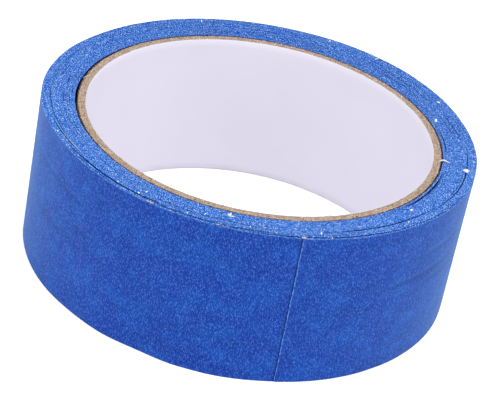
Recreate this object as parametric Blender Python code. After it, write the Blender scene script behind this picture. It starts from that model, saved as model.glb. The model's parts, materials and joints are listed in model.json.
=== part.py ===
"""A roll of blue masking tape on its paper core, standing on one end face.

Frame: metres, +Z up along the roll's axis, origin at the middle of the bottom end face.
The roll is one long strip wound on a spiral paper tube. Its dense inner turns are plain
rings, its outer turns are one unbroken spiral strip, and the last stretch of that strip,
the tab that a thumb lifts, turns outwards on a hinge line where it leaves the roll.
Seen from above the strip runs inwards counter-clockwise from its cut end.
"""

import math

import bmesh
import bpy
from mathutils import Vector
from mathutils.kdtree import KDTree

# Driving sizes, in metres and degrees.
BORE_RADIUS = 0.0381          # a three inch core, 76.2 mm across inside
LINER_THICKNESS = 0.00025     # pale paper lining of the bore
PLY_THICKNESS = 0.0004        # each wound board ply of the core
GLUE_LINE = 0.00015           # glue between one ply of the core and the next
TAPE_WIDTH = 0.035            # the roll's height as it stands
CORE_RECESS = 0.0005          # how far the core's top end sits below the tape's
SEAT_GAP = 0.0003             # clearance of a band of tape on what carries it
FIRST_TURNS_DEPTH = 0.0005    # the few turns next to the core, which have come loose
PACK_DEPTH = 0.00495          # the tight turns, at the foot of the step where the strip leaves
STRIP_THICKNESS = 0.0002      # the strip of the outer turns
TURN_GAP = 0.00042            # air between one outer turn and the next
OUTER_TURNS = 2               # whole turns of the strip outside the tight pack
CUT_END_ANGLE = -74.3         # where the cut end lies, counter-clockwise from +X
TAB_ARC = 27.0                # the lifted stretch, from the cut end to its hinge line
FACET_ARC = 3.0               # one facet of every round face

CORE_PLIES = ("core_inner_ply", "core_middle_ply", "core_outer_ply")

# Sizes that follow from the driving ones.
PLY_PITCH = GLUE_LINE + PLY_THICKNESS
PLIES_RADIUS = BORE_RADIUS + LINER_THICKNESS
CORE_RADIUS = PLIES_RADIUS + len(CORE_PLIES) * PLY_PITCH
CORE_LENGTH = TAPE_WIDTH - CORE_RECESS
FIRST_TURNS_RADIUS = CORE_RADIUS + SEAT_GAP
PACK_INNER_RADIUS = FIRST_TURNS_RADIUS + FIRST_TURNS_DEPTH + SEAT_GAP
PACK_STEP_RADIUS = PACK_INNER_RADIUS + PACK_DEPTH
TURN_PITCH = STRIP_THICKNESS + TURN_GAP
OUTER_RADIUS = PACK_STEP_RADIUS + SEAT_GAP + STRIP_THICKNESS + OUTER_TURNS * TURN_PITCH

CUT_END = math.radians(CUT_END_ANGLE)
HINGE_LINE = CUT_END + math.radians(TAB_ARC)
STRIP_START = CUT_END + OUTER_TURNS * math.tau

# Colours, linear, and roughness.
LINER_PAPER = ((0.74, 0.71, 0.84), 0.75)
CORE_BOARD = ((0.52, 0.38, 0.26), 0.9)
CORE_COVER = ((0.30, 0.17, 0.10), 0.9)
TAPE_EDGE = ((0.09, 0.24, 0.64), 0.8)
TAPE_FACE = ((0.03, 0.10, 0.47), 0.7)


def clear_scene():
    """Remove every object that the file already holds."""
    for obj in list(bpy.data.objects):
        bpy.data.objects.remove(obj, do_unlink=True)


def make_material(name, finish):
    """Return a material of the given (colour, roughness)."""
    colour, roughness = finish
    material = bpy.data.materials.new(name)
    material.use_nodes = True
    shader = material.node_tree.nodes["Principled BSDF"]
    shader.inputs["Base Color"].default_value = (*colour, 1.0)
    shader.inputs["Roughness"].default_value = roughness
    shader.inputs["Metallic"].default_value = 0.0
    material.diffuse_color = (*colour, 1.0)
    return material


def strip_outer_radius(angle):
    """Radius of the strip's outer face: it loses one pitch in each turn inwards."""
    return OUTER_RADIUS - TURN_PITCH * (angle - CUT_END) / math.tau


def strip_inner_radius(angle):
    """Radius of the strip's inner, sticky face."""
    return strip_outer_radius(angle) - STRIP_THICKNESS


def pack_outer_radius(angle):
    """Radius of the tight pack below the strip's innermost turn."""
    return strip_inner_radius(angle) - SEAT_GAP


def facet_angles(start, end):
    """Corners of a round face from start to end. Those between lie on one shared grid,
    counted from the cut end, so that nested faces keep their distance at every facet."""
    facet = math.radians(FACET_ARC)
    first = math.floor((start - CUT_END) / facet + 1e-6) + 1
    last = math.ceil((end - CUT_END) / facet - 1e-6)
    return [start, *(CUT_END + facet * step for step in range(first, last)), end]


def at(angle, radius):
    """Point in the bottom plane at an angle and a distance from the axis."""
    return Vector((radius * math.cos(angle), radius * math.sin(angle), 0.0))


def band_faces(bm, inner, outer):
    """Lay a downward quad between each pair of neighbouring inner and outer vertices."""
    for step in range(min(len(inner), len(outer)) - 1):
        bm.faces.new((inner[step], inner[step + 1], outer[step + 1], outer[step]))


def stand_up(name, bm, height, finish, origin=None):
    """Raise a flat, downward band from the bottom plane to its height, as an object."""
    origin = origin or Vector()
    bmesh.ops.translate(bm, verts=bm.verts, vec=-origin)
    mesh = bpy.data.meshes.new(name)
    bm.to_mesh(mesh)
    bm.free()
    obj = bpy.data.objects.new(name, mesh)
    obj.location = origin
    bpy.context.scene.collection.objects.link(obj)
    solid = obj.modifiers.new("height", "SOLIDIFY")
    solid.thickness = height
    solid.offset = -1.0
    mesh.materials.append(make_material(name, finish))
    mesh.shade_smooth()
    mesh.set_sharp_from_angle(angle=math.radians(30.0))
    return obj


def plain_ring(name, inner_radius, thickness, height, finish):
    """A closed ring: one ply of the core, or a band of turns that never parts."""
    bm = bmesh.new()
    angles = facet_angles(CUT_END, CUT_END + math.tau)[:-1]
    inner = [bm.verts.new(at(angle, inner_radius)) for angle in angles]
    outer = [bm.verts.new(at(angle, inner_radius + thickness)) for angle in angles]
    band_faces(bm, inner + inner[:1], outer + outer[:1])
    return stand_up(name, bm, height, finish)


def stepped_pack(name):
    """The tight turns. Their outer face winds once and ends in a step of one pitch."""
    bm = bmesh.new()
    angles = facet_angles(STRIP_START - math.tau, STRIP_START)
    inner = [bm.verts.new(at(angle, PACK_INNER_RADIUS)) for angle in angles[:-1]]
    outer = [bm.verts.new(at(angle, pack_outer_radius(angle))) for angle in angles]
    band_faces(bm, inner, outer)
    bm.faces.new((inner[-1], inner[0], outer[0], outer[-1], outer[-2]))
    return stand_up(name, bm, TAPE_WIDTH, TAPE_EDGE)


def wound_strip(name, start, end, origin=None):
    """The strip itself, from one angle to another along its spiral."""
    bm = bmesh.new()
    angles = facet_angles(start, end)
    inner = [bm.verts.new(at(angle, strip_inner_radius(angle))) for angle in angles]
    outer = [bm.verts.new(at(angle, strip_outer_radius(angle))) for angle in angles]
    band_faces(bm, inner, outer)
    return stand_up(name, bm, TAPE_WIDTH, TAPE_FACE, origin)


def facet_points(angles, radius_at, samples=4):
    """Points along the flat facets of one face of the strip, a few to each facet."""
    corners = [at(angle, radius_at(angle)) for angle in angles]
    points = []
    for first, second in zip(corners, corners[1:]):
        points += [first.lerp(second, step / samples) for step in range(samples)]
    return points


def least_gap(angles):
    """Least distance from the strip's inner face to its outer face one turn further in."""
    inner = facet_points(angles, strip_inner_radius)
    outer = facet_points(angles, strip_outer_radius)
    half_turn = int(0.5 * math.tau * (len(inner) / (angles[-1] - angles[0])))
    tree = KDTree(len(outer))
    for index, point in enumerate(outer):
        tree.insert(point, index)
    tree.balance()
    gaps = []
    for index in range(len(inner) - 2 * half_turn):
        found = tree.find(inner[index], filter=lambda other: other > index + half_turn)
        gaps.append(found[2])
    return min(gaps)


def make_core():
    """The spiral paper tube: its lining and its board plies, from the bore outwards."""
    plain_ring("core_liner", BORE_RADIUS, LINER_THICKNESS, CORE_LENGTH, LINER_PAPER)
    for index, name in enumerate(CORE_PLIES):
        finish = CORE_COVER if name == CORE_PLIES[-1] else CORE_BOARD
        radius = PLIES_RADIUS + GLUE_LINE + index * PLY_PITCH
        plain_ring(name, radius, PLY_THICKNESS, CORE_LENGTH, finish)


def make_tape():
    """The wound strip: loose first turns, tight pack, outer turns and the tab."""
    plain_ring("tape_first_turns", FIRST_TURNS_RADIUS, FIRST_TURNS_DEPTH, TAPE_WIDTH, TAPE_EDGE)
    stepped_pack("tape_pack")
    half_root_gap = 0.5 * SEAT_GAP / OUTER_RADIUS
    turns_start = HINGE_LINE + half_root_gap
    turns_end = STRIP_START - SEAT_GAP / PACK_STEP_RADIUS
    wound_strip("tape_outer_turns", turns_start, turns_end)
    hinge = at(HINGE_LINE, strip_outer_radius(HINGE_LINE))
    wound_strip("tape_end_tab", CUT_END, HINGE_LINE - half_root_gap, hinge)
    gap = least_gap(facet_angles(turns_start, turns_end))
    print(f"tape_outer_turns: least gap to itself {gap * 1000.0:.3f} mm")
    print(f"tape_end_tab: hinge line at {hinge.x:.6f}, {hinge.y:.6f}")


def main():
    """Build the whole roll."""
    clear_scene()
    make_core()
    make_tape()
    print(f"roll: {2000.0 * OUTER_RADIUS:.2f} mm across, {1000.0 * TAPE_WIDTH:.2f} mm wide")


main()
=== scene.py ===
"""Looks of a roll of blue masking tape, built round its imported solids.

The strip of tape is modelled as it is wound: one spiral of some fifty turns, whose radius is a
smooth function of the wound angle, with the lens-shaped gaps that a handled roll opens between
its turns. The outermost turn carries the creased crepe face and ends in the tab that lifts. The
core is a lined tube of board plies with fibrous end faces.

Angles named "front" are in degrees round the roll, from the camera's side, -Y, to the right.
"""
import json
import logging
import math
from collections.abc import Callable
from dataclasses import dataclass
from enum import Enum

import bpy
import numpy as np
from bpy.types import Material, Node, NodeSocket, NodeTree, Object
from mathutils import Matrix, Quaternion, Vector


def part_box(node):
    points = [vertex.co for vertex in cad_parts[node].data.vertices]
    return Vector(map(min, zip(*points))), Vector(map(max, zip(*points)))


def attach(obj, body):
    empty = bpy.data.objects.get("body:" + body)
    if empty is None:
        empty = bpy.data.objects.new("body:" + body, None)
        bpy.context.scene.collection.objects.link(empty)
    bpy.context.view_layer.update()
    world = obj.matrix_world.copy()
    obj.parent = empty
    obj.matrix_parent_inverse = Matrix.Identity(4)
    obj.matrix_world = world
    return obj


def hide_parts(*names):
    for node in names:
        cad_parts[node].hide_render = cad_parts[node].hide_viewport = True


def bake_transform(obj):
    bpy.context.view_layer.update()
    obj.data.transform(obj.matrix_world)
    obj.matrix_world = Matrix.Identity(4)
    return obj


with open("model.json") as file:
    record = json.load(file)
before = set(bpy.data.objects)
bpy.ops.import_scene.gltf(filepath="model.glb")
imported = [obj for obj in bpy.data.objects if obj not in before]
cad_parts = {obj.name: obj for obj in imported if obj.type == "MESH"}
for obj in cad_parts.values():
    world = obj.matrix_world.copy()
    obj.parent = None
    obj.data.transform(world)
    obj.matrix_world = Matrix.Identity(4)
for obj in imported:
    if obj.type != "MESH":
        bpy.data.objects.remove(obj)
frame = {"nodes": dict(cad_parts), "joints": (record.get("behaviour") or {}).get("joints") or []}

LOG = logging.getLogger("masking_tape")
MM = 0.001
FULL_TURN, HALF_TURN, QUARTER_TURN = 360.0, 180.0, 90.0
CUT_ANGLE = -74.3  # Of the strip's cut end, in degrees counter-clockwise from +X.
RIM_RADIUS = 47.5 * MM
TAPE_THICKNESS = 0.14 * MM
CORE_CLEARANCE = 0.04 * MM  # Between the core and the first turn.
# Painted shade: the crepe material darkens the outer tape by this attribute.
FURROW_SHADE = "furrow"  # The mesh attribute that is 1 in the deepest furrows of the outer tape.
Array = np.ndarray
Colour = tuple[float, float, float]
Finishes = dict[str, Material]


class Slot(Enum):
    """The record's material slots, one for each finish of the roll."""

    LINER = "core_liner_paper"
    BOARD = "core_board"
    COVER = "core_cover_paper"
    TAPE_EDGES = "tape_end_face"
    TAPE_FACE = "tape_crepe_face"


class Body(Enum):
    """The rigid bodies that pieces ride on."""

    ROLL = "roll"
    TAPE_END = "tape_end"


# ------ Numbers: noise and curves as whole arrays


def eased(t: Array) -> Array:
    """Smoothstep of t, flat at 0 and at 1."""
    t = np.clip(t, 0.0, 1.0)
    return t * t * (3.0 - 2.0 * t)


def lattice_noise(along: Array, across: Array, cells: tuple[int, int], seed: int) -> Array:
    """Value noise: random heights on a lattice that wraps both ways, joined by smoothstep.

    Args:
        along, across: The two coordinates, one lattice cell to a unit.
        cells: Cells each way before the lattice repeats.
        seed: Seed of the random heights.

    Returns:
        Heights from -1 to 1, in the coordinates' common shape.
    """
    heights = np.random.default_rng(seed).uniform(-1.0, 1.0, cells)
    low_a, low_b = np.floor(along), np.floor(across)
    part_a, part_b = eased(along - low_a), eased(across - low_b)
    a0, b0 = low_a.astype(int) % cells[0], low_b.astype(int) % cells[1]
    a1, b1 = (a0 + 1) % cells[0], (b0 + 1) % cells[1]
    near = heights[a0, b0] * (1.0 - part_a) + heights[a1, b0] * part_a
    far = heights[a0, b1] * (1.0 - part_a) + heights[a1, b1] * part_a
    return near * (1.0 - part_b) + far * part_b


def line_noise(along: Array, cells: int, seed: int) -> Array:
    """Value noise of one coordinate, from -1 to 1."""
    return lattice_noise(along, np.zeros_like(along), (cells, 1), seed)


def turned_from(front: Array, centre: float) -> Array:
    """Angle from a centre to each front angle, from -180 to 180 degrees."""
    return (front - centre + HALF_TURN) % FULL_TURN - HALF_TURN


def points_of(*coordinates: Array) -> Array:
    """A grid of points from coordinates that broadcast together."""
    return np.stack(np.broadcast_arrays(*coordinates), axis=-1)


def points_round(radii: Array, angle: Array, heights: Array) -> Array:
    """A grid of points from radii, angles in radians and heights."""
    return points_of(radii * np.cos(angle), radii * np.sin(angle), heights)


@dataclass(frozen=True)
class AroundCurve:
    """A quantity that changes round the roll: millimetres at front angles, eased between them."""

    knots: tuple[tuple[float, float], ...]

    def at(self, front: Array) -> Array:
        """Value in metres at front angles in degrees, of any size."""
        first = self.knots[0]
        closed = self.knots + ((first[0] + FULL_TURN, first[1]),)
        degrees, values = np.array(closed).T
        wrapped = (front - degrees[0]) % FULL_TURN + degrees[0]
        index = np.clip(np.searchsorted(degrees, wrapped, side="right") - 1, 0, len(degrees) - 2)
        part = eased((wrapped - degrees[index]) / (degrees[index + 1] - degrees[index]))
        return MM * (values[index] * (1.0 - part) + values[index + 1] * part)


# ------ Meshes from grids


def signed_volume(points: Array, quads: Array) -> float:
    """Volume that quads enclose, positive when they point outwards."""
    a, b, c, d = (points[quads[:, k]] for k in range(4))
    first = np.einsum("ij,ij->i", a, np.cross(b, c))
    second = np.einsum("ij,ij->i", a, np.cross(c, d))
    return float((first + second).sum() / 6.0)


def fill(target: object, key: str, values: Array, kind: type = np.int32) -> None:
    """Write whole numbers, or another kind of value, into a collection of a mesh."""
    target.foreach_set(key, values.astype(kind).ravel())


def stand(name: str, data: bpy.types.ID) -> Object:
    """A new object of the given data, in the scene and at the origin."""
    made = bpy.data.objects.new(name, data)
    bpy.context.scene.collection.objects.link(made)
    return made


@dataclass
class Skin:
    """A closed surface on a grid of rows by columns, ready to become a piece.

    The grid's columns always close into a loop, which is the section of a ring, strip or
    crumb. Its rows close too on a ring, and otherwise each end gets one flat cap. The painted
    shade of each point, if given, says how deep in a furrow it lies.
    """

    name: str
    points: Array
    ring: bool = False
    face_slots: Array | None = None
    uv: Array | None = None
    shade: Array | None = None

    def quads(self) -> Array:
        """Corner indices of every grid face, one row of four for each."""
        rows, columns = self.points.shape[:2]
        grid = np.arange(rows * columns).reshape(rows, columns)
        ahead = np.roll(grid, -1, axis=0)
        if not self.ring:
            grid, ahead = grid[:-1], ahead[:-1]
        corners = (grid, np.roll(grid, -1, axis=1), np.roll(ahead, -1, axis=1), ahead)
        return np.stack(corners, axis=-1).reshape(-1, 4)

    def build(self, materials: list[Material]) -> Object:
        """Make the mesh object, at the origin. face_slots picks a material for each face."""
        rows, columns = self.points.shape[:2]
        flat = self.points.reshape(-1, 3)
        quads = self.quads()
        inward = signed_volume(flat, quads) < 0.0
        loops = [(quads[:, ::-1] if inward else quads).ravel()]
        starts = [np.arange(0, 4 * len(quads), 4)]
        if not self.ring:
            first = np.arange(columns)
            last = first + (rows - 1) * columns
            loops += [first, last[::-1]] if inward else [first[::-1], last]
            starts.append(4 * len(quads) + columns * np.arange(2))
        loop_index, loop_start = np.concatenate(loops), np.concatenate(starts)
        mesh = bpy.data.meshes.new(self.name)
        mesh.vertices.add(len(flat))
        fill(mesh.vertices, "co", flat, np.float32)
        mesh.loops.add(len(loop_index))
        fill(mesh.loops, "vertex_index", loop_index)
        mesh.polygons.add(len(loop_start))
        fill(mesh.polygons, "loop_start", loop_start)
        for material in materials:
            mesh.materials.append(material)
        if self.uv is not None:
            layer = mesh.uv_layers.new(name="UVMap")
            fill(layer.data, "uv", self.uv.reshape(-1, 2)[loop_index], np.float32)
        if self.shade is not None:
            layer = mesh.attributes.new(FURROW_SHADE, "FLOAT", "POINT")
            fill(layer.data, "value", self.shade, np.float32)
        if self.face_slots is not None:
            caps = np.full(len(loop_start) - len(quads), 1)
            picks = np.concatenate([np.resize(self.face_slots, len(quads)), caps])
            fill(mesh.polygons, "material_index", picks)
        mesh.update(calc_edges=True)
        mesh.validate()
        mesh.shade_smooth()
        mesh.set_sharp_from_angle(angle=math.radians(50.0))
        LOG.info("%s: %d faces", self.name, len(mesh.polygons))
        return stand(self.name, mesh)


def dress(piece: Object, slot: Slot, *nodes: str) -> None:
    """Hide the CAD nodes that a finished piece stands for, and ride it on the roll."""
    if nodes:
        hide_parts(*nodes)
    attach(piece, Body.ROLL.value)


def node_radii(node: str) -> tuple[float, float]:
    """Least and greatest distance of a CAD node's corners from the roll's axis."""
    vertices = frame["nodes"][node].data.vertices
    places = np.empty(len(vertices) * 3)
    vertices.foreach_get("co", places)
    radii = np.hypot(*places.reshape(-1, 3)[:, :2].T)
    return float(radii.min()), float(radii.max())


# ------ Shader groups shared by the finishes


@dataclass(frozen=True)
class Layer:
    """A colour laid over others where a pattern goes from one value to another.

    Attributes:
        pattern: Name of the group's output.
        start, full: Values where the colour begins to show and where it shows most.
        strength: Its share of the mix there.
    """

    pattern: str
    start: float
    full: float
    strength: float
    colour: Colour


class Graph:
    """Short calls for laying nodes in one node tree. A colour is given by three numbers."""

    def __init__(self, tree: NodeTree) -> None:
        """Work in the given tree."""
        self.tree = tree

    def node(self, kind: str, **settings: object) -> Node:
        """Add a node and set its plain properties."""
        made = self.tree.nodes.new(kind)
        for key, value in settings.items():
            setattr(made, key, value)
        return made

    def feed(self, source: object, target: NodeSocket) -> None:
        """Give a socket its value: another socket, a number or a colour."""
        if isinstance(source, NodeSocket):
            self.tree.links.new(source, target)
        else:
            target.default_value = (*source, 1.0) if target.type == "RGBA" else source

    def math(self, operation: str, a: object, b: object = 0.0) -> NodeSocket:
        """One scalar operation on two values."""
        made = self.node("ShaderNodeMath", operation=operation)
        self.feed(a, made.inputs[0])
        self.feed(b, made.inputs[1])
        return made.outputs[0]

    def mix(self, factor: object, a: object, b: object) -> NodeSocket:
        """Mix two colours."""
        made = self.node("ShaderNodeMix", data_type="RGBA")
        self.feed(factor, made.inputs[0])
        self.feed(a, made.inputs[6])
        self.feed(b, made.inputs[7])
        return made.outputs[2]

    def remap(self, value: object, low: float, high: float, to_low: float = 0.0,
              to_high: float = 1.0) -> NodeSocket:
        """Stretch a value's range to another, eased and clamped."""
        made = self.node("ShaderNodeMapRange", interpolation_type="SMOOTHSTEP")
        for index, number in enumerate((value, low, high, to_low, to_high)):
            self.feed(number, made.inputs[index])
        return made.outputs[0]

    def layered(self, colour: object, group: Node, *layers: Layer) -> NodeSocket:
        """Lay each layer over the colour and the layers before it."""
        for layer in layers:
            pattern = group.outputs[layer.pattern]
            share = self.remap(pattern, layer.start, layer.full, 0.0, layer.strength)
            colour = self.mix(share, colour, layer.colour)
        return colour

    def noise(self, vector: object, size: object, detail: float = 1.0) -> NodeSocket:
        """Smooth noise from 0 to 1, with cells of the given size in metres."""
        made = self.node("ShaderNodeTexNoise", noise_dimensions="3D")
        self.feed(vector, made.inputs["Vector"])
        self.feed(self.math("DIVIDE", 1.0, size), made.inputs["Scale"])
        self.feed(detail, made.inputs["Detail"])
        self.feed(0.6, made.inputs["Roughness"])
        return made.outputs["Fac"]

    def scaled(self, vector: object, scale: tuple[float, float, float],
               moved: float = 0.0) -> NodeSocket:
        """Scale a pattern's coordinates, each way by its own number, and move them."""
        made = self.node("ShaderNodeMapping")
        self.feed(vector, made.inputs["Vector"])
        made.inputs["Scale"].default_value = scale
        made.inputs["Location"].default_value = (moved, moved, moved)
        return made.outputs["Vector"]

    def parts(self, vector: object) -> bpy.types.NodeOutputs:
        """The three numbers of a vector."""
        made = self.node("ShaderNodeSeparateXYZ")
        self.feed(vector, made.inputs[0])
        return made.outputs

    def vector(self, x: object, y: object, z: object) -> NodeSocket:
        """A vector of three numbers."""
        made = self.node("ShaderNodeCombineXYZ")
        for index, number in enumerate((x, y, z)):
            self.feed(number, made.inputs[index])
        return made.outputs[0]

    def group(self, tree: NodeTree, place: object, sizes: dict[str, float]) -> Node:
        """A shared group laid at a place, with some sizes other than its own."""
        made = self.node("ShaderNodeGroup", node_tree=tree)
        for title, value in {"Vector": place, **sizes}.items():
            self.feed(value, made.inputs[title])
        return made

    def coat(self, shader: Node, colour: object, height: object, depth: float) -> None:
        """Colour a shader, and bump it by a height of 0 to 1 at a depth in metres."""
        made = self.node("ShaderNodeBump")
        self.feed(depth, made.inputs["Distance"])
        self.feed(height, made.inputs["Height"])
        self.feed(made.outputs[0], shader.inputs["Normal"])
        self.feed(colour, shader.inputs["Base Color"])


Patterns = dict[str, NodeSocket]


def shared_group(name: str, sizes: dict[str, float],
                 lay: Callable[[Graph, Patterns], Patterns]) -> NodeTree:
    """Make a group that takes a vector and named sizes, and gives patterns of 0 to 1.

    Args:
        name: The group's name.
        sizes: Its size inputs, with what they are unless a finish gives another.
        lay: Lays the nodes, given the graph and the inputs, and returns the patterns.

    Returns:
        The group's node tree.
    """
    tree = bpy.data.node_groups.new(name, "ShaderNodeTree")
    sockets = tree.interface
    sockets.new_socket("Vector", in_out="INPUT", socket_type="NodeSocketVector")
    for title, size in sizes.items():
        socket = sockets.new_socket(title, in_out="INPUT", socket_type="NodeSocketFloat")
        socket.default_value = size
    graph = Graph(tree)
    given = {socket.name: socket for socket in graph.node("NodeGroupInput").outputs if socket.name}
    patterns = lay(graph, given)
    for title in patterns:
        sockets.new_socket(title, in_out="OUTPUT", socket_type="NodeSocketFloat")
    sink = graph.node("NodeGroupOutput")
    for title, pattern in patterns.items():
        graph.feed(pattern, sink.inputs[title])
    return tree


SLIT_EDGE_SIZES = {"Grain Size": 0.4 * MM, "Cloud Size": 5.0 * MM, "Streak Size": 1.6 * MM,
                   "Ring Radius": 44.0 * MM, "Streak Stretch": 6.0}


def slit_edges(graph: Graph, given: Patterns) -> Patterns:
    """Many thin layers seen end on: grain, cloud, streaks round the roll, and specks.

    The streaks lie on coordinates of direction times ring radius, and radius times a stretch,
    so that they run round the roll without a seam.
    """
    place, grain = given["Vector"], given["Grain Size"]
    x, y = graph.parts(place)[:2]
    square = graph.math("ADD", graph.math("MULTIPLY", x, x), graph.math("MULTIPLY", y, y))
    radius = graph.math("SQRT", square)
    part = graph.math("DIVIDE", given["Ring Radius"], radius)
    round_it = graph.vector(graph.math("MULTIPLY", x, part), graph.math("MULTIPLY", y, part),
                            graph.math("MULTIPLY", radius, given["Streak Stretch"]))
    return {
        "Grain": graph.noise(place, grain, 2.0),
        "Cloud": graph.noise(place, given["Cloud Size"], 2.0),
        "Streaks": graph.noise(round_it, given["Streak Size"], 1.0),
        "Specks": graph.noise(graph.scaled(place, (1.0, 1.0, 1.0), 0.37), grain, 0.0),
    }


CREPE_SIZES = {"Crease Width": 0.24 * MM, "Crease Length": 3.2, "Blotch Size": 1.6 * MM,
               "Cloud Size": 6.0 * MM, "Band Size": 2.4 * MM}


def crepe_paper(graph: Graph, given: Patterns) -> Patterns:
    """Creased crepe paper on a map of metres, along and across the tape.

    Creases are short and lie across the tape. Flecks are the finest pale specks, partly fibres and
    partly painted glints; blotches and clouds are uneven colour, and bands are long darker lines
    along the tape.
    """
    place = given["Vector"]
    along, across = graph.parts(place)[:2]
    creased = graph.vector(along, graph.math("DIVIDE", across, given["Crease Length"]), 0.0)
    fleck_size = graph.math("MULTIPLY", given["Crease Width"], 0.5)
    banded = graph.vector(graph.math("MULTIPLY", along, 0.09), across, 0.0)
    return {
        "Creases": graph.noise(creased, given["Crease Width"], 1.0),
        "Flecks": graph.noise(graph.scaled(place, (1.0, 0.26, 1.0), 0.53), fleck_size, 0.0),
        "Blotches": graph.noise(place, given["Blotch Size"], 2.0),
        "Clouds": graph.noise(place, given["Cloud Size"], 1.0),
        "Bands": graph.noise(banded, given["Band Size"], 2.0),
    }


# ------ Finishes


@dataclass(frozen=True)
class Finish:
    """A surface finish: how a material starts, before its own pattern is laid."""

    name: str
    colour: Colour
    roughness: float = 0.7
    specular: float = 0.3

    def start(self) -> tuple[Material, Graph, Node]:
        """Make the material with its constant sockets set, and return it with its shader."""
        material = bpy.data.materials.new(self.name)
        material.use_nodes = True
        material.diffuse_color = (*self.colour, 1.0)
        shader = material.node_tree.nodes["Principled BSDF"]
        shader.inputs["Base Color"].default_value = (*self.colour, 1.0)
        shader.inputs["Roughness"].default_value = self.roughness
        shader.inputs["Specular IOR Level"].default_value = self.specular
        return material, Graph(material.node_tree), shader

    def tint(self, factor: float) -> Colour:
        """The finish's colour, made lighter or darker by one factor."""
        return tuple(min(1.0, part * factor) for part in self.colour)


@dataclass(frozen=True)
class EdgeFinish(Finish):
    """Slit edges of many layers: grain, streaks, pale specks and dark specks of painted shade in pits.

    The grain goes from dark to light where its pattern passes middle by the spread, and calm
    is the share of the plain colour in it. The pits are painted shade, specks darker still.
    """

    dark: Colour = (0.03, 0.12, 0.45)
    light: Colour = (0.2, 0.4, 0.85)
    speck: Colour = (0.66, 0.82, 1.0)
    grain: float = 0.38 * MM
    streaks: float = 0.18
    ring_radius: float = 44.0 * MM
    middle: float = 0.58
    spread: float = 0.13
    calm: float = 0.1
    depth: float = 0.05 * MM

    def material(self, edges: NodeTree) -> Material:
        """Return the finished material."""
        material, graph, shader = self.start()
        place = graph.node("ShaderNodeTexCoord").outputs["Object"]
        group = graph.group(edges, place, {"Grain Size": self.grain, "Ring Radius": self.ring_radius})
        low, high = self.middle - self.spread, self.middle + self.spread
        grain = graph.mix(graph.remap(group.outputs["Grain"], low, high), self.dark, self.light)
        colour = graph.layered(
            graph.mix(self.calm, grain, self.colour), group,
            Layer("Streaks", 0.52, 0.30, self.streaks, self.dark),
            Layer("Streaks", 0.56, 0.74, 0.7 * self.streaks, self.light),
            Layer("Cloud", 0.35, 0.65, 0.20, self.tint(0.85)),
            # Painted shade of pits: dark specks.
            Layer("Specks", 0.39, 0.28, 0.80, tuple(0.4 * part for part in self.dark)),
            Layer("Specks", 0.62, 0.72, 0.85, self.speck),
        )
        graph.coat(shader, colour, group.outputs["Grain"], self.depth)
        return material


@dataclass(frozen=True)
class CrepeFinish(Finish):
    """The crepe face of the tape, with a painted highlight on its slit edge and a pale cut end.

    Attributes:
        pale: Colour of the blotches and clouds.
        wear_and_highlight: Slit edge's painted highlight; cut end's torn fibres and painted highlight.
        furrow: How much painted shade darkens the tape in the furrows.
        cut_line: Place of the cut end on the map, in metres along the tape.
        shadow_line: Place on the map of the tape that lies just under the cut end.
        width: Width of the tape.
    """

    pale: Colour = (0.008, 0.118, 0.56)
    # Colour of the pale flecks: partly fibres and partly painted glints.
    fibre: Colour = (0.095, 0.245, 0.75)
    wear_and_highlight: Colour = (0.19, 0.41, 0.90)
    sheen: float = 0.32
    furrow: float = 0.75
    depth: float = 0.05 * MM
    cut_line: float = 0.0
    shadow_line: float = -0.3
    width: float = 35.0 * MM

    def material(self, crepe: NodeTree) -> Material:
        """Return the finished material."""
        material, graph, shader = self.start()
        shader.inputs["Sheen Weight"].default_value = self.sheen
        shader.inputs["Sheen Roughness"].default_value = 0.5
        shader.inputs["Sheen Tint"].default_value = (0.38, 0.70, 1.0, 1.0)
        places = graph.node("ShaderNodeUVMap", uv_map="UVMap").outputs[0]
        group = graph.group(crepe, places, {})
        creases = graph.remap(group.outputs["Creases"], 0.30, 0.70)
        colour = graph.layered(
            graph.mix(creases, self.tint(0.86), self.tint(1.16)), group,
            Layer("Blotches", 0.50, 0.70, 0.16, self.pale),
            Layer("Clouds", 0.42, 0.66, 0.36, self.pale),
            # Darker lines along the tape.
            Layer("Bands", 0.46, 0.66, 0.34, self.tint(0.74)),
            # Pale flecks, partly fibres and partly painted glints, then darker flecks.
            Layer("Flecks", 0.56, 0.70, 0.56, self.fibre),
            Layer("Flecks", 0.46, 0.30, 0.48, self.tint(0.55)),
        )
        # Painted shade: the deepest furrows of the wrinkles are darkened towards half the colour.
        furrows = graph.node("ShaderNodeAttribute", attribute_name=FURROW_SHADE).outputs["Fac"]
        colour = graph.mix(graph.math("MULTIPLY", furrows, self.furrow), colour, self.tint(0.5))
        along, across = graph.parts(places)[:2]
        # A painted highlight lies along the slit edge, broken by the creases. The cut end gets a
        # dotted pale line, partly torn fibres and partly painted highlight, and the tape just under
        # the cut end gets a painted shadow of it.
        broken_by_creases = graph.remap(group.outputs["Creases"], 0.42, 0.58, 0.12)
        rim_highlight = graph.remap(across, self.width - 0.30 * MM, self.width - 0.08 * MM)
        rim_highlight = graph.math("MULTIPLY", rim_highlight, graph.math("MULTIPLY", broken_by_creases, 0.45))
        colour = graph.mix(rim_highlight, colour, self.wear_and_highlight)
        # The cut end's dotted pale line: partly torn fibres, partly painted highlight.
        dotted = graph.remap(group.outputs["Creases"], 0.42, 0.60, 0.16, 0.80)
        end = graph.remap(along, self.cut_line - 0.26 * MM, self.cut_line - 0.12 * MM)
        colour = graph.mix(graph.math("MULTIPLY", end, dotted), colour, self.wear_and_highlight)
        near = graph.math("ABSOLUTE", graph.math("SUBTRACT", along, self.shadow_line + 0.14 * MM))
        shade = graph.remap(near, 0.22 * MM, 0.10 * MM, 0.0, 0.6)
        colour = graph.mix(shade, colour, (0.002, 0.018, 0.17))
        graph.coat(shader, colour, group.outputs["Creases"], self.depth)
        return material


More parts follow.
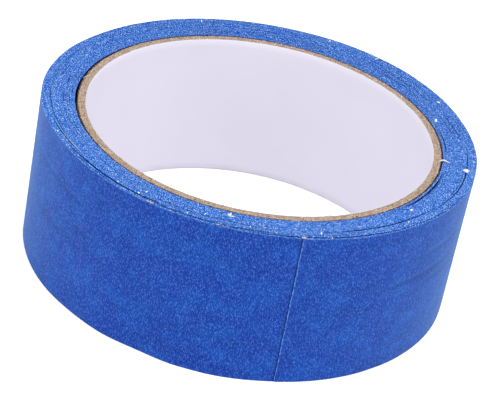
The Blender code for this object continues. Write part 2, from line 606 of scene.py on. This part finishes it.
@dataclass(frozen=True)
class PaperFinish(Finish):
    """Smooth paper: a faint cloud and a fine grain."""

    contrast: float = 0.03
    cloud: float = 12.0 * MM
    depth: float = 0.01 * MM

    def material(self, edges: NodeTree) -> Material:
        """Return the finished material."""
        material, graph, shader = self.start()
        place = graph.node("ShaderNodeTexCoord").outputs["Object"]
        group = graph.group(edges, place, {"Cloud Size": self.cloud})
        mixed = graph.math("ADD", graph.math("MULTIPLY", group.outputs["Grain"], 0.4),
                           graph.math("MULTIPLY", group.outputs["Cloud"], 0.6))
        factor = graph.remap(mixed, 0.3, 0.7)
        colour = graph.mix(factor, self.tint(1.0 - self.contrast), self.tint(1.0 + self.contrast))
        graph.coat(shader, colour, group.outputs["Grain"], self.depth)
        return material


def make_finishes(width: float, circumference: float) -> Finishes:
    """Make every material of the roll once, on two shared groups.

    Args:
        width: Width of the tape.
        circumference: Length of the outermost turn.

    Returns:
        The materials by short names.
    """
    crepe = {"width": width, "shadow_line": -circumference}
    edge_finishes = {
        "edges": EdgeFinish("tape_slit_edges", (0.021, 0.160, 0.58), 0.8, 0.03,
                            dark=(0.001, 0.078, 0.49), light=(0.155, 0.44, 0.89),
                            grain=0.19 * MM, spread=0.085),
        "board": EdgeFinish("board_edge", (0.405, 0.297, 0.224), 0.9, 0.1,
                            dark=(0.22, 0.155, 0.11), light=(0.53, 0.425, 0.335),
                            speck=(0.66, 0.56, 0.46), grain=0.24 * MM, ring_radius=39.0 * MM,
                            streaks=0.5, middle=0.5, spread=0.24, calm=0.62),
        "cover": EdgeFinish("cover_ply_edge", (0.15, 0.075, 0.045), 0.9, 0.1,
                            dark=(0.04, 0.02, 0.012), light=(0.30, 0.18, 0.12),
                            speck=(0.48, 0.29, 0.19), ring_radius=39.0 * MM),
        "walls": PaperFinish("tape_faces_in_the_pack", (0.010, 0.045, 0.27), 0.8, 0.1, 0.15),
        "liner": PaperFinish("lining_paper", (0.79, 0.767, 0.86), 0.85, 0.1, 0.008),
        "white_shred": PaperFinish("white_shred", (0.88, 0.87, 0.84), 0.8, 0.2),
        "tape_shred": PaperFinish("tape_shred", (0.52, 0.75, 1.0), 0.8, 0.2, 0.2),
        "board_shred": PaperFinish("board_shred", (0.66, 0.52, 0.40), 0.8, 0.2),
    }
    crepe_finishes = {
        "face": CrepeFinish("crepe_paper_face", (0.0060, 0.043, 0.360), 0.6, 0.05, **crepe),
        "sticky": CrepeFinish("adhesive_face", (0.045, 0.155, 0.50), 0.35, 0.5, sheen=0.0,
                              pale=(0.07, 0.20, 0.57), fibre=(0.14, 0.30, 0.70), furrow=0.0, **crepe),
    }
    edge_group = shared_group("slit_edges", SLIT_EDGE_SIZES, slit_edges)
    crepe_group = shared_group("crepe_paper", CREPE_SIZES, crepe_paper)
    return {
        **{name: finish.material(edge_group) for name, finish in edge_finishes.items()},
        **{name: finish.material(crepe_group) for name, finish in crepe_finishes.items()},
    }


# ------ The wound strip


@dataclass(frozen=True)
class Parting:
    """A lens-shaped gap between one turn and the next.

    Attributes:
        centre: Front angle where the gap is widest.
        half: Degrees from there to where it closes.
        turns: Whole turns under it, from the core, or if negative over it, from the rim.
        width: Its greatest width in millimetres.
    """

    centre: float
    half: float
    turns: int
    width: float

    def threshold(self, last: float) -> float:
        """The place along the strip, in turns, past which the strip lies outside the gap."""
        here = (HALF_TURN - self.centre) / FULL_TURN
        whole = self.turns if self.turns > 0 else math.floor(last - here) + self.turns + 1
        return here + whole - 0.5

    def opening(self, front: Array) -> Array:
        """Width of the gap in metres at front angles."""
        part = np.abs(turned_from(front, self.centre)) / self.half
        return self.width * MM * eased(1.4 * (1.0 - part))


PARTINGS = tuple(Parting(*row) for row in (
    # Near the rim, one after another from the left to the right.
    (-60.0, 13.0, -11, 0.22),
    (-36.0, 24.0, -7, 0.44),
    (-8.0, 26.0, -5, 0.35),
    (22.0, 24.0, -3, 0.36),
    (50.0, 26.0, -2, 0.20),
    # A third of the way in.
    (-76.0, 22.0, -15, 0.14),
    (-50.0, 12.0, -16, 0.07),
    (-6.0, 24.0, -18, 0.24),
    (40.0, 26.0, -18, 0.36),
    (76.0, 26.0, -15, 0.22),
    # Deep in the pack, and against the core.
    (-93.0, 5.0, -37, 0.18),
    (-83.0, 4.0, -36, 0.16),
    (-42.0, 9.0, -33, 0.14),
    (-97.0, 5.0, 4, 0.16),
    (-86.0, 4.0, 5, 0.14),
    (66.0, 17.0, 4, 0.40),
    (101.0, 9.0, 5, 0.24),
))

RIM_DRIFT = AroundCurve((
    (-158.0, 0.12), (-124.0, 0.0), (-108.0, 0.34), (-90.0, 0.46), (-75.0, 0.25), (-59.0, -0.22),
    (-27.0, 0.0), (0.0, -0.12), (31.0, 0.05), (48.0, 0.08), (66.0, 0.30), (90.0, 0.15), (111.0, 0.0),
    (127.0, 0.28), (146.0, 0.60), (159.0, 0.62), (180.0, 0.24),
))
HEM_DRIFT = AroundCurve((
    (-160.0, 0.05), (-90.0, 0.20), (-60.0, -0.03), (-42.0, -0.30), (-31.0, -0.14), (-21.0, -0.44),
    (-9.0, 0.25), (1.0, 0.47), (18.0, 0.20), (32.0, 0.10), (46.0, -0.15), (62.0, -0.28), (80.0, -0.27),
    (92.0, -0.03), (150.0, 0.25),
))
CORE_GAP = AroundCurve((
    (-180.0, 0.02), (-128.0, 0.04), (-106.0, 0.28), (-88.0, 0.40), (-70.0, 0.20), (-55.0, 0.0),
    (45.0, 0.0), (62.0, 0.09), (84.0, 0.14), (112.0, 0.11), (150.0, 0.04),
))


@dataclass(frozen=True)
class Winding:
    """The spiral of tape: the radius of the strip's inner face at any place along it.

    Places along the strip are counted in turns from the core. The strip runs from the back,
    round by the right, and so its cut end faces left in front.
    """

    core_radius: float
    rim_radius: float
    tape: float
    cut_front: float
    stray_partings: int = 46
    seed: int = 5

    @property
    def last(self) -> float:
        """Turns from the core to the cut end."""
        whole = math.floor((self.rim_radius - self.core_radius) / self.tape)
        return whole + (HALF_TURN - self.cut_front) / FULL_TURN

    @property
    def partings(self) -> tuple[Parting, ...]:
        """The chosen partings, and small stray ones all over the end face."""
        draw = np.random.default_rng(self.seed)
        count = self.stray_partings
        centres = draw.uniform(-HALF_TURN, HALF_TURN, count)
        halves = draw.uniform(4.0, 13.0, count)
        turns = draw.integers(3, int(self.last) - 2, count)
        widths = draw.uniform(0.05, 0.14, count)
        strays = (Parting(float(a), float(b), int(c), float(d))
                  for a, b, c, d in zip(centres, halves, turns, widths))
        return PARTINGS + tuple(strays)

    def front(self, turn: Array) -> Array:
        """Front angle in degrees at places along the strip."""
        return HALF_TURN - FULL_TURN * turn

    def radius(self, turn: Array) -> tuple[Array, Array]:
        """Inner radius and radial room of the strip.

        The radius is the core's, plus the pitch times the turns below, plus the partings below.
        The pitch at a front angle is what rim, core and all partings there leave, shared by
        all the turns.

        Args:
            turn: Places along the strip.

        Returns:
            The radius of the inner face, and the room to the next turn.
        """
        front = self.front(turn)
        start = self.core_radius + CORE_GAP.at(front)
        total, below = np.zeros_like(turn), np.zeros_like(turn)
        for parting in self.partings:
            opening = parting.opening(front)
            total = total + opening
            below = below + np.where(turn > parting.threshold(self.last), opening, 0.0)
        pitch = (self.rim_radius + RIM_DRIFT.at(front) - start - total) / (self.last + 1.0)
        return start + pitch * turn + below, pitch

    def lean(self, turn: Array) -> Array:
        """How far the strip's bottom edge lies outside its top edge.

        It is the hem's drift less the rim's, times the square of the share of the strip below.
        """
        front = self.front(turn)
        return (HEM_DRIFT.at(front) - RIM_DRIFT.at(front)) * (turn / self.last) ** 2


@dataclass(frozen=True)
class Wrinkle:
    """A long shallow furrow along the outermost turn.

    Attributes:
        centre: Front angle of its middle.
        half: Degrees from there to where it fades out.
        height: Height of its middle in millimetres.
        slope: Rise in millimetres for each degree to the right.
        width: Width in millimetres.
        depth: Depth in millimetres, negative for a ridge.
    """

    centre: float
    half: float
    height: float
    slope: float
    width: float
    depth: float

    def relief(self, front: Array, height: Array) -> Array:
        """Outward displacement in metres at front angles and heights."""
        turned = turned_from(front, self.centre)
        middle = MM * (self.height + self.slope * turned)
        across = (height - middle) / (MM * self.width)
        return -MM * self.depth * eased(1.0 - np.abs(turned) / self.half) * np.exp(-across * across)


WRINKLES = tuple(Wrinkle(*row) for row in (
    (56.0, 26.0, 21.0, 0.035, 0.7, 0.09),
    (57.0, 25.0, 22.4, 0.035, 0.8, -0.09),
    (64.0, 20.0, 26.0, 0.02, 0.7, 0.08),
    (64.0, 19.0, 27.3, 0.02, 0.8, -0.07),
    (66.0, 20.0, 18.3, 0.02, 0.7, 0.07),
    (-60.0, 26.0, 26.4, -0.03, 0.65, 0.055),
    (-60.0, 24.0, 27.7, -0.03, 0.8, -0.05),
    (-56.0, 20.0, 15.6, 0.0, 0.65, 0.05),
    (-44.0, 14.0, 19.6, 0.01, 0.65, 0.045),
))


@dataclass
class TapeRoll:
    """The strip of tape as pieces: first turns, tight pack, outermost turn and lifted tab.

    Attributes:
        tab_turns, first_turns, wrap_turns: Lengths of three of the pieces, in turns.
        dish: How far the end face falls from rim to core.
        samples, fine_samples: Rows of a plain and of a crepe piece in each turn.
        face_rows, back_rows: Points across the crepe face and across the sticky face.
        fill: Share of a turn's room that the tape fills.
        curl, fray: How far the cut end stands out, and how ragged it is.
        shade_depth: Depth of a furrow whose painted shade is full.
        bend: Length of the bend where the tab lifts. It is not used.
    """

    winding: Winding
    width: float
    tab_turns: float
    first_turns: float = 5.0
    wrap_turns: float = 1.06
    dish: float = 0.5 * MM
    samples: int = 510
    fine_samples: int = 1080
    face_rows: int = 66
    back_rows: int = 6
    fill: float = 0.94
    curl: float = 0.04 * MM
    fray: float = 0.13 * MM
    shade_depth: float = 0.10 * MM
    bend: float = 7.0 * MM

    def along(self, turn: Array) -> Array:
        """Metres along the tape to each place, from the cut end, so negative."""
        return math.tau * self.winding.rim_radius * (turn - self.winding.last)

    def relief(self, turn: Array, height: Array) -> Array:
        """Relief of the crepe: short creases across the tape, swells, and the long wrinkles.

        Args:
            turn: Places along the strip.
            height: Heights above the bottom edge.

        Returns:
            Outward displacement.
        """
        along, across = self.along(turn) / MM, height / MM
        folds = lattice_noise(along / 0.62, across / 2.6, (4099, 64), 11)
        fine = lattice_noise(along / 0.42, across / 1.3, (4099, 64), 12)
        swell = lattice_noise(along / 3.1, across / 4.2, (997, 32), 13)
        relief = MM * (0.007 * folds + 0.008 * fine + 0.011 * swell)
        return relief + self.furrows(turn, height)

    def furrows(self, turn: Array, height: Array) -> Array:
        """Outward displacement of the long wrinkles alone, in metres."""
        front = self.winding.front(turn)
        return sum(wrinkle.relief(front, height) for wrinkle in WRINKLES)

    def edge_heights(self, turn: Array, seed: int) -> tuple[Array, Array]:
        """Heights of the two slit edges.

        The top edge falls towards the core, so the end face is a shallow dish. Each edge also
        strays a little by turn, in waves and in nicks.

        Args:
            turn: Places along the strip.
            seed: Seed of the straying.

        Returns:
            Heights of the bottom and top edges.
        """
        inward = (self.winding.last - turn) / self.winding.last
        nicks = line_noise(self.along(turn) / (1.1 * MM), 8191, seed + 2)
        stray = 0.030 * line_noise(turn, 257, seed) + 0.020 * line_noise(7.0 * turn, 1021, seed + 1)
        stray = MM * (stray + 0.018 * nicks)
        top = self.width - self.dish * inward ** 1.3 + stray - 0.03 * MM
        return np.abs(stray) * 0.5, top

    def place(self, turn: Array, radii: Array, heights: Array, shift: Array | float = 0.0) -> Array:
        """Points on a grid of rows by columns, shifted along the tape by metres if asked."""
        angle = np.radians(self.winding.front(turn) - QUARTER_TURN) - shift / self.winding.rim_radius
        return points_round(radii, angle, heights)

    def strip(self, name: str, start: float, end: float, seed: int) -> Skin:
        """Plain wound strip of four-cornered section: inner and outer face, two slit edges."""
        turn = np.linspace(start, end, int((end - start) * self.samples))[:, None]
        inner, room = self.winding.radius(turn)
        bottom, top = self.edge_heights(turn, seed)
        outer = inner + room * self.fill
        lean = self.winding.lean(turn)
        radii = np.concatenate([inner + lean, inner, outer, outer + lean], axis=1)
        heights = np.concatenate([bottom, top, top, bottom], axis=1)
        return Skin(name, self.place(turn, radii, heights), face_slots=np.array([1, 0, 1, 0]))

    def faced(self, name: str, start: float, end: float) -> Skin:
        """Outermost tape with its crepe face: many rows outside, few on the sticky side.

        The last millimetre before the cut curls outwards, and the cut itself is ragged.
        """
        turn = np.linspace(start, end, int((end - start) * self.fine_samples))[:, None]
        inner, room = self.winding.radius(turn)
        up = np.linspace(0.0, 1.0, self.face_rows)[None, :]
        down = np.linspace(1.0, 0.0, self.back_rows)[None, :]
        bottom, top = self.edge_heights(turn, 50)
        face_height, back_height = (bottom + (top - bottom) * part for part in (up, down))
        outer = inner + room * self.fill + self.relief(turn, face_height)
        back = inner + 0.3 * self.relief(turn, back_height)
        heights = np.concatenate([face_height, back_height], axis=1)
        lean = self.winding.lean(turn) * (1.0 - heights / self.width)
        radii = np.concatenate([outer, back], axis=1) + lean
        to_cut = -self.along(turn)
        radii = radii + self.curl * eased(1.0 - to_cut / (1.6 * MM))
        ragged = 0.7 * line_noise(heights / (0.9 * MM), 64, 91)
        ragged = ragged + 0.3 * line_noise(heights / (3.7 * MM), 16, 92)
        shift = self.fray * ragged * eased(1.0 - to_cut / (1.2 * MM))
        points = self.place(turn, radii, heights, shift)
        uv = points_of(self.along(turn), heights)
        slots = np.full(radii.shape[1], 2)
        slots[:self.face_rows - 1] = 0
        slots[[self.face_rows - 1, -1]] = 1
        # Painted shade, by how deep each point lies in the wrinkles' furrows.
        shade = np.clip(-self.furrows(turn, heights) / self.shade_depth, 0.0, 1.0)
        return Skin(name, points, face_slots=slots, uv=uv, shade=shade)

    def build(self, finishes: Finishes) -> None:
        """Make every piece of tape."""
        last = self.winding.last
        fold = last - self.tab_turns
        under = fold - self.wrap_turns
        plain = [finishes["edges"], finishes["walls"]]
        first = self.strip("tape_first_turns_wound", 0.0, self.first_turns, 70)
        dress(first.build(plain), Slot.TAPE_EDGES, "tape_first_turns")
        pack = self.strip("tape_pack_wound", self.first_turns, under, 80)
        dress(pack.build(plain), Slot.TAPE_EDGES, "tape_pack")
        materials = [finishes["face"], finishes["edges"], finishes["sticky"]]
        wrap = self.faced("tape_outer_wrap", under, fold)
        dress(wrap.build(materials), Slot.TAPE_FACE, "tape_outer_turns")
        tab = self.faced("tape_end_lifted", fold, last).build(materials)
        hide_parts("tape_end_tab")
        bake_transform(tab)


# ------ The core


@dataclass
class CoreTube:
    """The paper tube: lining paper, board plies with fibrous ends, and the brown cover ply."""

    bore_radius: float
    core_radius: float
    length: float
    liner: float = 0.08 * MM
    cover: float = 0.22 * MM
    groove: float = 0.03 * MM
    plies: int = 3
    columns: int = 900

    def ring(self, name: str, inner: float, outer: float, end_rows: int, fray: float, seed: int,
             tear: float = 0.0) -> Skin:
        """A ring whose end faces are roughened.

        Its section runs up the inner wall, across the top, down the outer wall and back across
        the bottom. Both ends are roughened by value noise of angle and radius, and sink at
        their two edges, so that each ply has its own rounded end.

        Args:
            name: The piece's name.
            inner, outer: Its two radii.
            end_rows: Points across each end face.
            fray: Height of the roughness.
            seed: Seed of the roughness.
            tear: Height of the torn edge that stands above the top here and there.

        Returns:
            The closed ring.
        """
        part = np.linspace(0.0, 1.0, end_rows)
        wall = np.linspace(0.05, 0.95, 8)
        radial = np.concatenate([np.zeros(8), part, np.ones(8), part[::-1]])[None, :]
        up = np.concatenate([wall, np.ones(end_rows), wall[::-1], np.zeros(end_rows)])[None, :]
        share = np.linspace(0.0, 1.0, self.columns, endpoint=False)[:, None]
        radii = inner + (outer - inner) * radial
        half = self.columns // 2
        fine = lattice_noise(share * half, radii / (0.22 * MM), (half, 512), seed)
        broad = lattice_noise(share * 90.0, radii / (0.5 * MM), (90, 256), seed + 1)
        rough = fray * (0.6 * fine + 0.4 * broad)
        sunk = 1.5 * self.groove * (2.0 * radial - 1.0) ** 6
        torn = tear * np.clip(line_noise(share * 120.0, 120, seed + 4), 0.0, 1.0)
        torn = torn * np.clip(1.6 * line_noise(share * 9.0, 9, seed + 5), 0.0, 1.0)
        top = self.length + rough - sunk + torn
        low = np.abs(rough) + sunk
        heights = np.where(up >= 1.0, top, np.where(up <= 0.0, low, up * self.length))
        radii = radii + 0.02 * MM * line_noise(share * 60.0, 60, seed + 3)
        return Skin(name, points_round(radii, share * math.tau - math.pi, heights), ring=True)

    def build(self, finishes: Finishes) -> None:
        """Make the lining, the board plies and the cover ply."""
        inner_board = self.bore_radius + self.liner
        outer_board = self.core_radius - self.cover
        liner = self.ring("core_lining_paper", self.bore_radius, inner_board, 3, 0.03 * MM, 21,
                          0.35 * MM)
        dress(liner.build([finishes["liner"]]), Slot.LINER, "core_liner")
        ply = (outer_board - inner_board) / self.plies
        nodes = {0: ("core_inner_ply",), 1: ("core_middle_ply",)}
        for index in range(self.plies):
            low = inner_board + index * ply
            skin = self.ring(f"core_board_ply_{index + 1}", low, low + ply - 0.02 * MM, 7, 0.07 * MM,
                             30 + 10 * index)
            dress(skin.build([finishes["board"]]), Slot.BOARD, *nodes.get(index, ()))
        cover = self.ring("core_cover_ply", outer_board, self.core_radius, 4, 0.05 * MM, 70)
        dress(cover.build([finishes["cover"]]), Slot.COVER, "core_outer_ply")


# ------ Shreds of paper that the slitting knife left


class Shred(Enum):
    """What a shred is made of: its finish's name, and the slot that it takes it from."""

    WHITE = ("white_shred", Slot.LINER)
    BOARD = ("board_shred", Slot.BOARD)
    TAPE = ("tape_shred", Slot.TAPE_EDGES)
    COVER = ("cover", Slot.COVER)


@dataclass(frozen=True)
class Crumb:
    """One shred on the end face.

    Attributes:
        front, radius: Its place, in degrees and in millimetres from the roll's axis.
        size: Length, breadth and thickness in millimetres.
        turned: Degrees between its length and the rim's direction.
        shred: What it is made of.
    """

    front: float
    radius: float
    size: tuple[float, float, float]
    turned: float = 0.0
    shred: Shred = Shred.WHITE

    def skin(self, name: str, ground: float, seed: int) -> Skin:
        """A lumpy pebble that lies on ground of the given height.

        It is an ellipsoid whose distance from its middle wanders with direction.
        """
        polar = np.linspace(0.12, math.pi - 0.12, 12)[:, None]
        round_it = np.linspace(0.0, math.tau, 16, endpoint=False)[None, :]
        lumps = lattice_noise(polar * 3.0, round_it * 7.0 / math.tau, (10, 7), seed)
        reach = 0.5 * MM * (1.0 + 0.55 * lumps)
        length, breadth, thickness = self.size
        x = reach * length * np.cos(polar) * np.ones_like(round_it)
        y = reach * breadth * np.sin(polar) * np.cos(round_it)
        z = reach * thickness * np.sin(polar) * np.sin(round_it) + ground + 0.35 * MM * thickness
        tilt = math.radians(self.front + self.turned)
        middle = math.radians(self.front - QUARTER_TURN)
        px = x * math.cos(tilt) - y * math.sin(tilt) + MM * self.radius * math.cos(middle)
        py = x * math.sin(tilt) + y * math.cos(tilt) + MM * self.radius * math.sin(middle)
        return Skin(name, points_of(px, py, z))


WHITE_CRUMBS = tuple(Crumb(*row) for row in (
    (-3.4, 41.7, (1.15, 0.4, 0.4), 75.0),
    (-2.6, 42.2, (0.9, 0.28, 0.3), 15.0),
    (-3.6, 42.0, (0.6, 0.45, 0.5), -40.0),
    (21.0, 45.2, (0.7, 0.25, 0.2), 70.0),
    (84.2, 45.7, (1.2, 0.4, 0.35), 20.0),
    (84.7, 45.6, (1.1, 0.35, 0.35), 95.0),
    (83.9, 45.4, (0.9, 0.3, 0.3), 60.0),
    (113.4, 41.6, (1.3, 0.5, 0.25), -20.0),
    (53.4, 42.5, (0.7, 0.4, 0.15)),
    (-26.9, 44.0, (0.5, 0.3, 0.15), 60.0),
    (-27.8, 45.7, (0.45, 0.3, 0.2), 90.0),
    (-62.0, 46.6, (0.5, 0.25, 0.15)),
    (-34.7, 45.8, (0.4, 0.25, 0.15)),
    (-9.7, 44.0, (0.5, 0.2, 0.15), 80.0),
    (-13.8, 45.8, (0.4, 0.25, 0.15), 90.0),
    (2.5, 45.0, (0.5, 0.2, 0.15), 85.0),
    (47.5, 45.7, (0.45, 0.25, 0.15)),
    (90.0, 46.9, (0.4, 0.3, 0.15)),
    (123.0, 45.9, (0.7, 0.4, 0.2), 40.0),
    (150.0, 46.9, (1.0, 0.2, 0.2), 70.0),
    (165.0, 46.6, (0.8, 0.2, 0.2), 80.0),
    (-157.0, 46.2, (0.9, 0.25, 0.15), 80.0),
))
BOARD_CRUMBS = tuple(Crumb(*row, shred=Shred.BOARD) for row in (
    (-23.4, 47.1, (1.5, 0.22, 0.2), 2.0),
    (-5.5, 47.0, (0.5, 0.25, 0.2), 40.0),
    (15.9, 47.3, (0.9, 0.35, 0.25), 10.0),
    (23.0, 47.3, (0.5, 0.25, 0.2), 60.0),
    (33.0, 43.5, (0.5, 0.35, 0.15), 0.0),
    (93.0, 47.0, (0.8, 0.25, 0.2), 80.0),
    (-110.0, 43.4, (0.5, 0.35, 0.15), 0.0),
))
COVER_CRUMBS = tuple(Crumb(*row, shred=Shred.COVER) for row in (
    (35.6, 39.5, (0.45, 0.25, 0.15), 10.0),
    (52.0, 39.2, (0.35, 0.25, 0.15), 0.0),
    (75.6, 39.4, (0.40, 0.30, 0.15), 40.0),
))


@dataclass(frozen=True)
class Fibre:
    """A thin fibre or sliver of tape on the end face, from one radius to another.

    Attributes:
        front: Front angle in degrees at its middle.
        start, end: Radii of its two ends in millimetres.
        thickness, arch: Its diameter and the height of its arch in millimetres.
        sweep: Degrees that it turns round the roll from end to end.
        shred: What it is made of.
    """

    front: float
    start: float
    end: float
    thickness: float
    sweep: float
    arch: float
    shred: Shred = Shred.WHITE

    def skin(self, name: str, ground: float) -> Skin:
        """A round thread, on ground of the given height, that tapers along a raised arc."""
        part = np.linspace(0.0, 1.0, 24)[:, None]
        turn = np.linspace(0.0, math.tau, 8, endpoint=False)[None, :]
        radius = MM * (self.start + (self.end - self.start) * part)
        swept = self.sweep * (part - 0.5) + 0.3 * np.sin(5.0 * part)
        angle = np.radians(self.front - QUARTER_TURN + swept)
        thick = 0.5 * MM * self.thickness * (0.35 + 0.65 * np.sin(math.pi * part))
        height = ground + 0.5 * MM * self.thickness + MM * self.arch * np.sin(math.pi * part)
        across = thick * np.cos(turn)
        x = radius * np.cos(angle) - across * np.sin(angle)
        y = radius * np.sin(angle) + across * np.cos(angle)
        return Skin(name, points_of(x, y, height + thick * np.sin(turn)))


FIBRES = (
    Fibre(87.2, 39.2, 41.7, 0.32, 1.2, 0.35),
    Fibre(129.0, 38.0, 39.4, 0.2, 3.0, 0.2),
    Fibre(-97.0, 39.5, 40.1, 0.14, 3.0, 0.15),
    Fibre(-64.5, 45.75, 45.6, 0.16, 9.0, 0.02, Shred.TAPE),
    Fibre(-55.5, 45.55, 45.3, 0.24, 10.0, 0.03, Shred.TAPE),
)


@dataclass(frozen=True)
class Shreds:
    """All the crumbs and fibres on the end face.

    Attributes:
        rim_height, core_height: Heights of the end face at the rim and at the core.
        inner, breadth: Inner radius and breadth of the dish of tape, in millimetres.
    """

    rim_height: float
    core_height: float
    inner: float = 40.0
    breadth: float = 7.0

    def ground(self, radius: float) -> float:
        """Height of the dished end face at a radius in millimetres."""
        part = min(max((radius - self.inner) / self.breadth, 0.0), 1.0)
        return self.core_height + (self.rim_height - self.core_height) * part

    def lay(self, skin: Skin, shred: Shred, finishes: Finishes) -> None:
        """Make one shred, on the roll."""
        finish, slot = shred.value
        dress(skin.build([finishes[finish]]), slot)

    def build(self, finishes: Finishes) -> None:
        """Make each crumb and fibre."""
        for index, crumb in enumerate(WHITE_CRUMBS + BOARD_CRUMBS + COVER_CRUMBS):
            skin = crumb.skin(f"crumb_{index + 1}", self.ground(crumb.radius), 200 + index)
            self.lay(skin, crumb.shred, finishes)
        for index, fibre in enumerate(FIBRES):
            skin = fibre.skin(f"fibre_{index + 1}", self.ground(fibre.start))
            self.lay(skin, fibre.shred, finishes)


# ------ Floor, light and camera


@dataclass(frozen=True)
class Studio:
    """A pale floor, soft light and the camera at the photograph's angle.

    Attributes:
        distance, elevation: The camera's place: metres from the origin, degrees above the floor.
        aim: The point that it looks at.
        lean: Degrees that it is turned about its line of sight.
        lens: Focal length in millimetres.
        seen_floor: Light that the floor adds where the camera sees it.
        lit_world: Strength of the world where it lights.
    """

    distance: float = 0.5142
    elevation: float = 31.47
    aim: tuple[float, float, float] = (0.00098, 0.0, 0.01482)
    lean: float = 11.19
    lens: float = 165.24
    seen_floor: float = 0.42
    lit_world: float = 0.65

    def camera(self) -> None:
        """Place the camera and lean it about its own line of sight."""
        rise = math.radians(self.elevation)
        place = Vector((0.0, -self.distance * math.cos(rise), self.distance * math.sin(rise)))
        data = bpy.data.cameras.new("camera")
        data.lens, data.sensor_width = self.lens, 36.0
        data.clip_start, data.clip_end = 0.01, 50.0
        camera = stand("camera", data)
        look = (Vector(self.aim) - place).to_track_quat("-Z", "Y")
        camera.rotation_mode = "QUATERNION"
        camera.rotation_quaternion = look @ Quaternion((0.0, 0.0, 1.0), math.radians(self.lean))
        camera.location = place
        bpy.context.scene.camera = camera

    def floor(self) -> None:
        """A wide white floor that keeps the roll's shadow and meets the white beyond it."""
        mesh = bpy.data.meshes.new("floor")
        side = 6.0
        corners = [(-side, -side, 0.0), (side, -side, 0.0), (side, side, 0.0), (-side, side, 0.0)]
        mesh.from_pydata(corners, [], [(0, 1, 2, 3)])
        floor = stand("floor", mesh)
        floor.location.z = -0.1 * MM
        material, graph, shader = Finish("floor", (0.86, 0.86, 0.86), 0.9, 0.0).start()
        path = graph.node("ShaderNodeLightPath")
        seen = graph.math("MAXIMUM", path.outputs["Is Camera Ray"], path.outputs["Is Glossy Ray"])
        shader.inputs["Emission Color"].default_value = (1.0, 1.0, 1.0, 1.0)
        glow = graph.math("MULTIPLY", seen, self.seen_floor)
        graph.feed(glow, shader.inputs["Emission Strength"])
        mesh.materials.append(material)

    def world(self) -> None:
        """White where it is seen, a soft even grey where it lights."""
        world = bpy.data.worlds.new("studio")
        world.use_nodes = True
        graph = Graph(world.node_tree)
        background = world.node_tree.nodes["Background"]
        path = graph.node("ShaderNodeLightPath")
        seen = graph.math("MAXIMUM", path.outputs["Is Camera Ray"], path.outputs["Is Glossy Ray"])
        seen = graph.math("MAXIMUM", seen, path.outputs["Is Transmission Ray"])
        background.inputs["Color"].default_value = (1.0, 1.0, 1.0, 1.0)
        added = graph.math("MULTIPLY", seen, 1.0 - self.lit_world)
        strength = graph.math("ADD", added, self.lit_world)
        graph.feed(strength, background.inputs["Strength"])
        bpy.context.scene.world = world

    def lamp(self, name: str, place: tuple[float, float, float], size: float, power: float) -> None:
        """A square soft box that faces the roll."""
        data = bpy.data.lights.new(name, "AREA")
        data.size, data.energy = size, power
        lamp = stand(name, data)
        lamp.location = place
        lamp.rotation_mode = "QUATERNION"
        lamp.rotation_quaternion = (-Vector(place)).to_track_quat("-Z", "Y")

    def build(self) -> None:
        """Set up everything round the roll."""
        self.camera()
        self.floor()
        self.world()
        self.lamp("key", (0.05, -0.15, 1.0), 0.6, 5.5)
        self.lamp("left_fill", (-0.85, -0.35, 0.5), 0.7, 2.6)
        self.lamp("right_fill", (0.85, -0.35, 0.5), 0.7, 2.4)
        bpy.context.scene.view_settings.view_transform = "Standard"


def main() -> None:
    """Build the roll and the studio."""
    logging.basicConfig(level=logging.INFO, format="%(name)s %(message)s")
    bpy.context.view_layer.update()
    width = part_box("tape_pack")[1].z
    bore, _ = node_radii("core_liner")
    _, core = node_radii("core_outer_ply")
    core_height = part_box("core_liner")[1].z
    joint = frame["joints"][0]["pos_m"]
    fold_angle = math.degrees(math.atan2(joint[1], joint[0]))
    winding = Winding(core + CORE_CLEARANCE, RIM_RADIUS, TAPE_THICKNESS, CUT_ANGLE + QUARTER_TURN)
    finishes = make_finishes(width, math.tau * RIM_RADIUS)
    TapeRoll(winding, width, (fold_angle - CUT_ANGLE) / FULL_TURN).build(finishes)
    CoreTube(bore, core, core_height).build(finishes)
    Shreds(width, core_height).build(finishes)
    Studio().build()
    bpy.context.view_layer.update()


if __name__ == "__main__":
    main()
